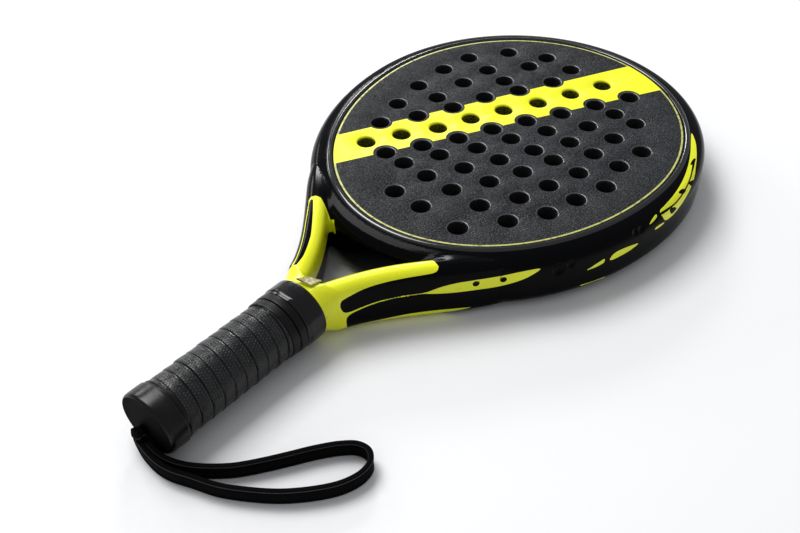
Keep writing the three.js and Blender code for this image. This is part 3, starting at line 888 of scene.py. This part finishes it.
def add_frame():
    """The moulded frame, with its paint's edges and the plugs' seats cut along its mesh."""
    points, triangles = frame_surface()
    points, triangles = split_along(points, triangles, paint_value(points))
    points, triangles = split_along(points, triangles, plug_value(points))
    points, normals = settle(points, 1)
    middle = points[triangles].mean(1)
    on_the_wall = np.abs(OUTER_LINE.measure(np.abs(middle[:, 0]), middle[:, 1])[0]) < 3
    triangles = triangles[~((plug_value(middle) > 0) & on_the_wall)]
    yellow = paint_value(points[triangles].mean(1)) > 0
    used, back = np.unique(triangles, return_inverse=True)
    body = make_piece("moulded_frame", points[used], back.reshape(-1, 3), [LACQUER, YELLOW],
                      face_materials=yellow.astype(int), normals=normals[used])
    return place(body, "lacquer", "frame_tube", "throat_bridge")


def add_plugs():
    """Black plugs sunk in round seats in the outside wall: a sloping edge and a domed middle."""
    section = [(PLUG_R + 0.12, -0.02), (PLUG_R - 0.1, -0.1), (PLUG_R - 0.3, -0.7), (1.3, -0.75),
               (1, -0.45), (0.5, -0.3), (0.02, -0.26)]
    steps = 32
    angle = full_turn(steps)[:, None]
    for word, (along, up) in zip(("upper", "lower"), PLUGS):
        near = along + np.array([-1, 0, 1])
        x, y = (np.interp(near, OUTER_LINE.before, axis) for axis in OUTER_LINE.start.T)
        seat = np.array([[x[1], y[1], MID_Z + up]])
        for _ in range(3):
            value, slope = field_and_slope(seat, frame_field)
            seat = seat - value[:, None] * slope
        out = unit(slope[0])
        first = unit(np.array([x[2] - x[0], y[2] - y[0], 0.0]))
        round_seat = np.cos(angle) * first + np.sin(angle) * np.cross(out, first)
        rings = np.vstack([seat[0] + radius * round_seat + depth * out for radius, depth in section])
        faces = grid_faces(len(section), steps, wrap_columns=True)
        for side, way in (("right", 1), ("left", -1)):
            name = f"side_plug_{side}_{word}"
            piece = make_piece("seated_" + name, rings * (way, 1, 1), faces[:, ::-way], [RUBBER])
            piece.data.set_sharp_from_angle(angle=math.radians(40))
            place(piece, "rubber", name)


def add_beads():
    """The proud bead that runs round each face, at the inner edge of the rim."""
    section = [(11, 16.2), (11, 17.9), (11.35, 18.2), (11.9, 18.62), (12.5, 18.88),
               (13.2, 19), (13.9, 18.9), (14.4, 18.62), (14.8, 18.2), (15, 17.6),
               (15.05, 16.2), (13, 15.8)]
    inset, height = catmull(section, 4, closed=True).T
    angle = np.arange(0, 360, 1.0)
    for name, way in (("front", 1), ("back", -1)):
        x, y = hoop_point(angle[:, None], inset[None, :]).transpose(2, 0, 1)
        points = spread_out(x, y, MID_Z + way * height)
        faces = grid_faces(len(angle), len(inset), True, True)[:, ::-way]
        place(make_piece("rim_bead_" + name, points, faces, [BEAD]), "lacquer")


add_frame()
add_plugs()
add_beads()

# -------- faces and core

HOLE_R = 6.1
HOLE_STEPS = 40
DRILL_ROWS = [
    (-11, 0, [-15, 7, 37]),
    (14, 0, [-64, -46, -30, -10, 11, 34, 56]),
    (36, 0.07, [-72, -52, -33, -18, 3, 24, 48, 70]),
    (58, 0.13, [-78, -58, -38, -20, -4, 15, 34, 55, 76]),
    (81, 0.18, [-82, -62, -46, -28, -9, 7, 26, 42, 62, 83]),
    (104, 0.24, [-82, -60, -37, -17, 3, 20, 39, 58, 78]),
    (127, 0.24, [-78, -57, -39, -24, -4, 16, 38, 59, 81]),
    (151, 0.28, [-60, -37, -12, 7, 28, 44, 61]),
    (175, 0.12, [-34, -11, 18, 41]),
]
ROW_FALL = 0.06
STRIPE_SLOPE = 23 / 11.8


def drill_plan():
    """The middle of each hole. Left of the stripe, the rows rise to the left."""
    holes = []
    for y, rise, row in DRILL_ROWS:
        stripe_x = -64 + (y - 15) / STRIPE_SLOPE
        for x in row:
            slope = rise if x < stripe_x else ROW_FALL
            holes.append((x, y - slope * (x - stripe_x)))
    return np.array(holes)


HOLES = drill_plan()

# The stripe's two straight edges, each drawn from beyond the throat to beyond the tip
STRIPE_LEFT = np.array([(-87, 1), (18, 208)])
STRIPE_RIGHT = np.array([(-65, -21), (53, 196)])
BITE_R = 8.3
BITE_STEPS = 22


def stripe_edge(line, inward_sign):
    """One edge of the stripe, which goes round the holes beside it at a small distance."""
    start, end = line
    ahead = unit(end - start)
    start, end = start - 30 * ahead, end + 30 * ahead
    inward = inward_sign * np.array([ahead[1], -ahead[0]])
    made = [start]
    offset = HOLES - start
    height = offset @ inward
    for i in np.argsort(offset @ ahead):
        if height[i] > 3.5 or height[i] < -BITE_R + 0.4:
            continue
        first = math.asin(np.clip(-height[i] / BITE_R, -1, 1))
        for angle in np.linspace(math.pi - first, first, BITE_STEPS):
            made.append(HOLES[i] + BITE_R * (math.cos(angle) * ahead + math.sin(angle) * inward))
    return np.array(made + [end])


EDGE_LEFT = stripe_edge(STRIPE_LEFT, 1)
EDGE_RIGHT = stripe_edge(STRIPE_RIGHT, -1)
STRIPE_OUTLINE = np.vstack([EDGE_LEFT, EDGE_RIGHT[::-1]])
FACE_EDGE = 15.0
FACE_UP = 18.15
CORE_UP = 16.6
PINSTRIPE_IN = (15.8, 17.1)


def circle(centre, radius):
    angle = full_turn(HOLE_STEPS) + math.pi / HOLE_STEPS
    return centre + radius * spread_out(np.cos(angle), np.sin(angle))


def plate_triangles(outline, hole_r, lines):
    """Triangles of a drilled plate, cut along extra lines, each given as (points, closed)."""
    points, edges = [], []
    holes = [(circle(hole, hole_r), True) for hole in HOLES]
    for line, closed in [(outline, True), *holes, *lines]:
        start, count = len(points), len(line)
        points.extend(Vector(p) for p in line.tolist())
        last = count if closed else count - 1
        edges.extend((start + i, start + (i + 1) % count) for i in range(last))
    found = delaunay_2d_cdt(points, edges, [], 0, 1e-5, False)
    flat = np.array([tuple(v) for v in found[0]])
    triangles = np.array([tuple(f) for f in found[2]])
    middle = flat[triangles].mean(1)
    keep = outline_distance(middle[:, 0], middle[:, 1], outline) > 0
    nearest = np.hypot(*(middle[:, None] - HOLES[None]).transpose(2, 0, 1)).min(1)
    triangles = triangles[keep & (nearest > hole_r * math.cos(math.pi / HOLE_STEPS))]
    used, back = np.unique(triangles, return_inverse=True)
    return flat[used], back.reshape(-1, 3)


def trimmed(line, outline):
    """The part of a line that is inside an outline."""
    fine = np.vstack([a + (b - a) * np.linspace(0, 1, 60, endpoint=False)[:, None]
                      if np.linalg.norm(b - a) > 20 else a[None]
                      for a, b in zip(line[:-1], line[1:])] + [line[-1:]])
    return fine[outline_distance(fine[:, 0], fine[:, 1], outline) > 0.3]


ANGLES = np.arange(0, 360, 1.5)


def weld(piece, reach=1e-6):
    """Joins points that lie together, and removes faces without area."""
    made = bmesh.new()
    made.from_mesh(piece.data)
    bmesh.ops.remove_doubles(made, verts=made.verts, dist=reach)
    bmesh.ops.dissolve_degenerate(made, edges=made.edges, dist=1e-8)
    made.to_mesh(piece.data)
    made.free()
    piece.data.update()


def add_plate(name, levels, lines, cap_paint, wall_paint, materials, slot, node):
    """A drilled plate. levels are (height, how much wider its holes and its edge are cut) from
    one face to the other, and lines are cut into the faces for the paint's edges."""
    points, faces, chosen = [], [], []

    def add(new_points, new_faces, material):
        faces.append(new_faces + sum(len(p) for p in points))
        points.append(new_points)
        chosen.append(np.broadcast_to(material, (len(new_faces),)))

    way = 1 if levels[-1][0] > levels[0][0] else -1
    for (z, ease), up in ((levels[0], way < 0), (levels[-1], way > 0)):
        flat, triangles = plate_triangles(hoop_point(ANGLES, FACE_EDGE + ease), HOLE_R + ease, lines)
        a, b, c = flat[triangles].transpose(1, 0, 2)
        turned = (np.cross(b - a, c - a) > 0) == up
        triangles = np.where(turned[:, None], triangles, triangles[:, ::-1])
        add(np.column_stack([flat, np.full(len(flat), z)]), triangles, cap_paint((a + b + c) / 3))

    def add_wall(line, paint, turn):
        rings = [np.column_stack([line(ease), np.full(len(line(ease)), z)]) for z, ease in levels]
        quads = grid_faces(len(levels), len(rings[0]), wrap_columns=True)
        add(np.vstack(rings), quads[:, ::turn], paint)

    band = np.repeat(np.arange(len(levels) - 1), HOLE_STEPS)
    for number, hole in enumerate(HOLES):
        add_wall(lambda ease: circle(hole, HOLE_R + ease), wall_paint(number)[band], -way)
    add_wall(lambda ease: hoop_point(ANGLES, FACE_EDGE + ease), 0, way)
    every = [tuple(f) for block in faces for f in block.tolist()]
    piece = make_piece(name, np.vstack(points), every, materials, np.concatenate(chosen))
    weld(piece)
    piece.data.set_sharp_from_angle(angle=math.radians(50))
    place(piece, slot, node)


STRIPE_HOLES = outline_distance(HOLES[:, 0], HOLES[:, 1], STRIPE_OUTLINE) > 4


# Places in the faces' material list
LAMINATE, PAINTED, LINED, WORN_AND_HIGHLIGHT = range(4)


def add_faces():
    pin_outer, pin_inner = (hoop_point(ANGLES, inset) for inset in PINSTRIPE_IN)
    lines = [(pin_outer, True), (pin_inner, True),
             (trimmed(EDGE_LEFT, pin_outer), False), (trimmed(EDGE_RIGHT, pin_outer), False)]

    def cap_paint(middle):
        stripe, in_outer, in_inner = (outline_distance(*middle.T, outline) > 0
                                      for outline in (STRIPE_OUTLINE, pin_outer, pin_inner))
        lined = np.where(in_outer & ~in_inner, LINED, LAMINATE)
        return np.where(stripe & in_outer, PAINTED, lined)

    def skin_walls(number):
        # The top two bands of each plain hole's wall take the light grey of the rims: worn laminate
        # and painted highlight.
        return np.array([PAINTED] * 4 if STRIPE_HOLES[number] else [WORN_AND_HIGHLIGHT] * 2 + [LAMINATE] * 2)

    def core_walls(number):
        return np.full(3, int(STRIPE_HOLES[number]))

    eased = [(0.0, 0.8), (0.16, 0.5), (0.45, 0.2), (0.9, 0.0), (1.5, 0.0)]
    for side, way in (("front", 1), ("back", -1)):
        levels = [(MID_Z + way * (FACE_UP - depth), ease) for depth, ease in eased]
        add_plate("face_" + side, levels, lines, cap_paint, skin_walls,
                  [FACE, STRIPE, PINSTRIPE, WORN_AND_HIGHLIGHT_EDGE], "face_skin", "face_skin_" + side)
    levels = [(MID_Z + up, 0.0) for up in (CORE_UP, 9.0, -9.0, -CORE_UP)]
    add_plate("drilled_core", levels, [], lambda middle: 0, core_walls, [FOAM, TINTED_FOAM],
              "core_foam", "foam_core")


add_faces()

# -------- handle


def oval_turn(name, profile, materials, slot, node, crease=None, crown=None):
    """A closed form with oval sections round the handle's axis. profile is a list of
    (y, half width, half height). crown is the height at which its top is planed off."""
    y, half_x, half_z = catmull(profile, 4).T
    angle = full_turn(144)
    x = np.maximum(half_x, 0.01)[:, None] * np.cos(angle)
    z = np.maximum(half_z, 0.01)[:, None] * np.sin(angle)
    if crown:
        z = smooth_min(z, crown, 0.8)
    points = spread_out(x, y[:, None], z + MID_Z)
    piece = make_piece(name, points, tube_faces(*points.shape[:2]), materials)
    if crease:
        piece.data.set_sharp_from_angle(angle=crease)
    return place(piece, slot, node)


PINS_IN_A_TURN = 62.0
ROWS_OF_PINS = 4.4


def add_overgrip():
    """A strip wound in overlapping turns. Each turn climbs onto the one before it."""
    pitch, first, last = 7.9, -213.6, -133.6
    turns = (last - first) / pitch + 1
    steps = 120
    share = np.array([0, 0.02, 0.06, 0.12, 0.22, 0.4, 0.6, 0.8, 0.95, 1])
    rise = np.array([-0.30, 0.12, 0.27, 0.30, 0.27, 0.20, 0.10, 0.00, -0.12, -0.30])
    count = int(turns * steps)
    turn = np.arange(count + 1) / steps
    angle = 2 * math.pi * turn
    y = first - pitch + pitch * (turn[:, None] + share[None, :])
    y = np.clip(y, first, last)
    rng = np.random.default_rng(4)
    wander = np.interp(turn[:, None] * 3.1 + share[None, :], np.arange(60), rng.normal(0, 0.13, 60))
    # On the far side of the floor's light, each turn's edge gapes in a short slit
    slit = np.exp(-((np.degrees(angle) + 52) % 360 - 20) ** 2 / 180)
    lift = rise[None, :] + wander - slit[:, None] * np.interp(share, [0, 0.02, 0.09], [0.9, 0.9, 0])
    x = (18.2 + lift) * np.cos(angle)[:, None]
    z = MID_Z + (17.2 + lift) * np.sin(angle)[:, None]
    uv = spread_out(turn[:, None] * PINS_IN_A_TURN, share * ROWS_OF_PINS)
    grip = make_piece("wound_overgrip", spread_out(x, y, z), grid_faces(*x.shape), [GRIP], uv=uv)
    weld(grip, 2e-5)
    return place(grip, "grip_wrap", "overgrip")


def add_collar():
    """The ring with its flat crown, the lower sleeve behind it, and the tape."""
    crease = math.radians(40)
    ring = [(-114.1, 16, 14.8), (-114.1, 18.6, 17.2), (-114.3, 19.1, 17.7), (-115.1, 19.8, 18.4),
            (-116.2, 20, 18.6), (-120, 20, 18.6), (-124, 20, 18.6), (-125.6, 19.9, 18.5),
            (-126.6, 19.4, 18), (-127.4, 19.3, 17.9), (-128.1, 19.1, 17.7), (-128.5, 18.5, 17.1),
            (-128.5, 16, 14.8)]
    oval_turn("collar_ring", ring, [RING], "ring_plastic", "grip_ring", crease, crown=18.15)
    sleeve = [(-128.8, 17, 16), (-128.8, 18.9, 17.8), (-129.1, 19.2, 18.1),
              (-129.8, 19.3, 18.2), (-133, 19.3, 18.2), (-133.6, 19.2, 18.1),
              (-133.9, 18.8, 17.7), (-134, 17, 16)]
    oval_turn("stepped_sleeve", sleeve, [RUBBER], "rubber", "collar_sleeve", crease)
    tape = [(-134.3, 17.4, 16.4), (-134.35, 18.6, 17.6), (-134.7, 18.9, 17.9),
            (-136.9, 18.95, 17.95), (-139.3, 18.9, 17.9), (-139.7, 18.7, 17.7),
            (-139.8, 17.4, 16.4)]
    oval_turn("end_tape", tape, [RUBBER], "rubber", "finishing_tape", crease)


def add_butt_cap():
    """The cap's band and its flat end, which is duller."""
    cap = [(-212.6, 16, 14), (-212.6, 18.7, 16.9), (-213, 19.2, 17.2),
           (-213.8, 19.3, 17.3), (-214.3, 19, 17), (-214.7, 18.9, 16.9),
           (-215.1, 19.5, 17.3), (-215.8, 20.1, 17.75),
           (-217.5, 20.2, 17.8), (-223.9, 20.2, 17.8), (-225.6, 20.1, 17.7),
           (-226.7, 19.7, 17.3), (-227.3, 19.1, 16.7), (-227.5, 18.4, 16),
           (-227.45, 17.5, 15.1), (-227.4, 16, 13.6), (-227.4, 8, 6.8), (-227.4, 0, 0)]
    piece = oval_turn("end_cap", cap, [CAP, CAP_END], "cap_plastic", "butt_cap")
    for face in piece.data.polygons:
        if face.normal.y < -0.9 and face.center.y < -0.22:
            face.material_index = 1


add_overgrip()
add_collar()
add_butt_cap()

# -------- the CAD pieces that stay

KEPT = {
    "handle_pallet_left": HANDLE_FOAM, "handle_pallet_right": HANDLE_FOAM,
    "handle_web": HANDLE_FOAM, "base_grip": RUBBER, "butt_tack_left": STEEL,
    "butt_tack_right": STEEL, "strap_eyelet": CAP, "strap_knot": WEBBING, "throat_badge": BADGE,
}
for node, material in KEPT.items():
    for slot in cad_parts[node].material_slots:
        slot.material = material

# -------- floor and light


def add_floor():
    """A sheet of paper 10 m wide."""
    half, steps = 5000.0, 8
    edge = np.linspace(-half, half, steps + 1)
    x, y = np.meshgrid(edge, edge, indexing="ij")
    faces = grid_faces(steps + 1, steps + 1)[:, ::-1]
    make_piece("floor", spread_out(x, y, 0.0), faces, [PAPER])


def add_light(name, position, target, size, power, size_y=None):
    """A soft box that faces the target."""
    data = bpy.data.lights.new(name, "AREA")
    data.shape = "RECTANGLE"
    data.size = size
    data.size_y = size_y or size
    data.energy = power
    light = bpy.data.objects.new(name, data)
    bpy.context.scene.collection.objects.link(light)
    light.location = position
    way = Vector(target) - Vector(position)
    light.rotation_mode = "QUATERNION"
    light.rotation_quaternion = way.to_track_quat("-Z", "Y")


def add_world():
    """Even pale light from all round."""
    world = bpy.data.worlds.new("studio")
    world.use_nodes = True
    background = world.node_tree.nodes["Background"]
    background.inputs[0].default_value = (0.96, 0.975, 1.0, 1.0)
    background.inputs[1].default_value = 0.52
    bpy.context.scene.world = world


add_floor()
add_world()
add_light("key_softbox", (-1.3, 0.1, 2.0), (0, 0, 0), 1.3, 45)
add_light("back_softbox", (-1.5, 1.45, 1.0), (0, 0.05, 0), 0.5, 10, 0.3)
add_light("side_strip", (-1.8, 0.4, 0.65), (0, 0.08, 0), 0.6, 4, 0.25)
bpy.context.scene.view_settings.gamma = 0.84
bpy.context.scene.view_settings.view_transform = "Standard"
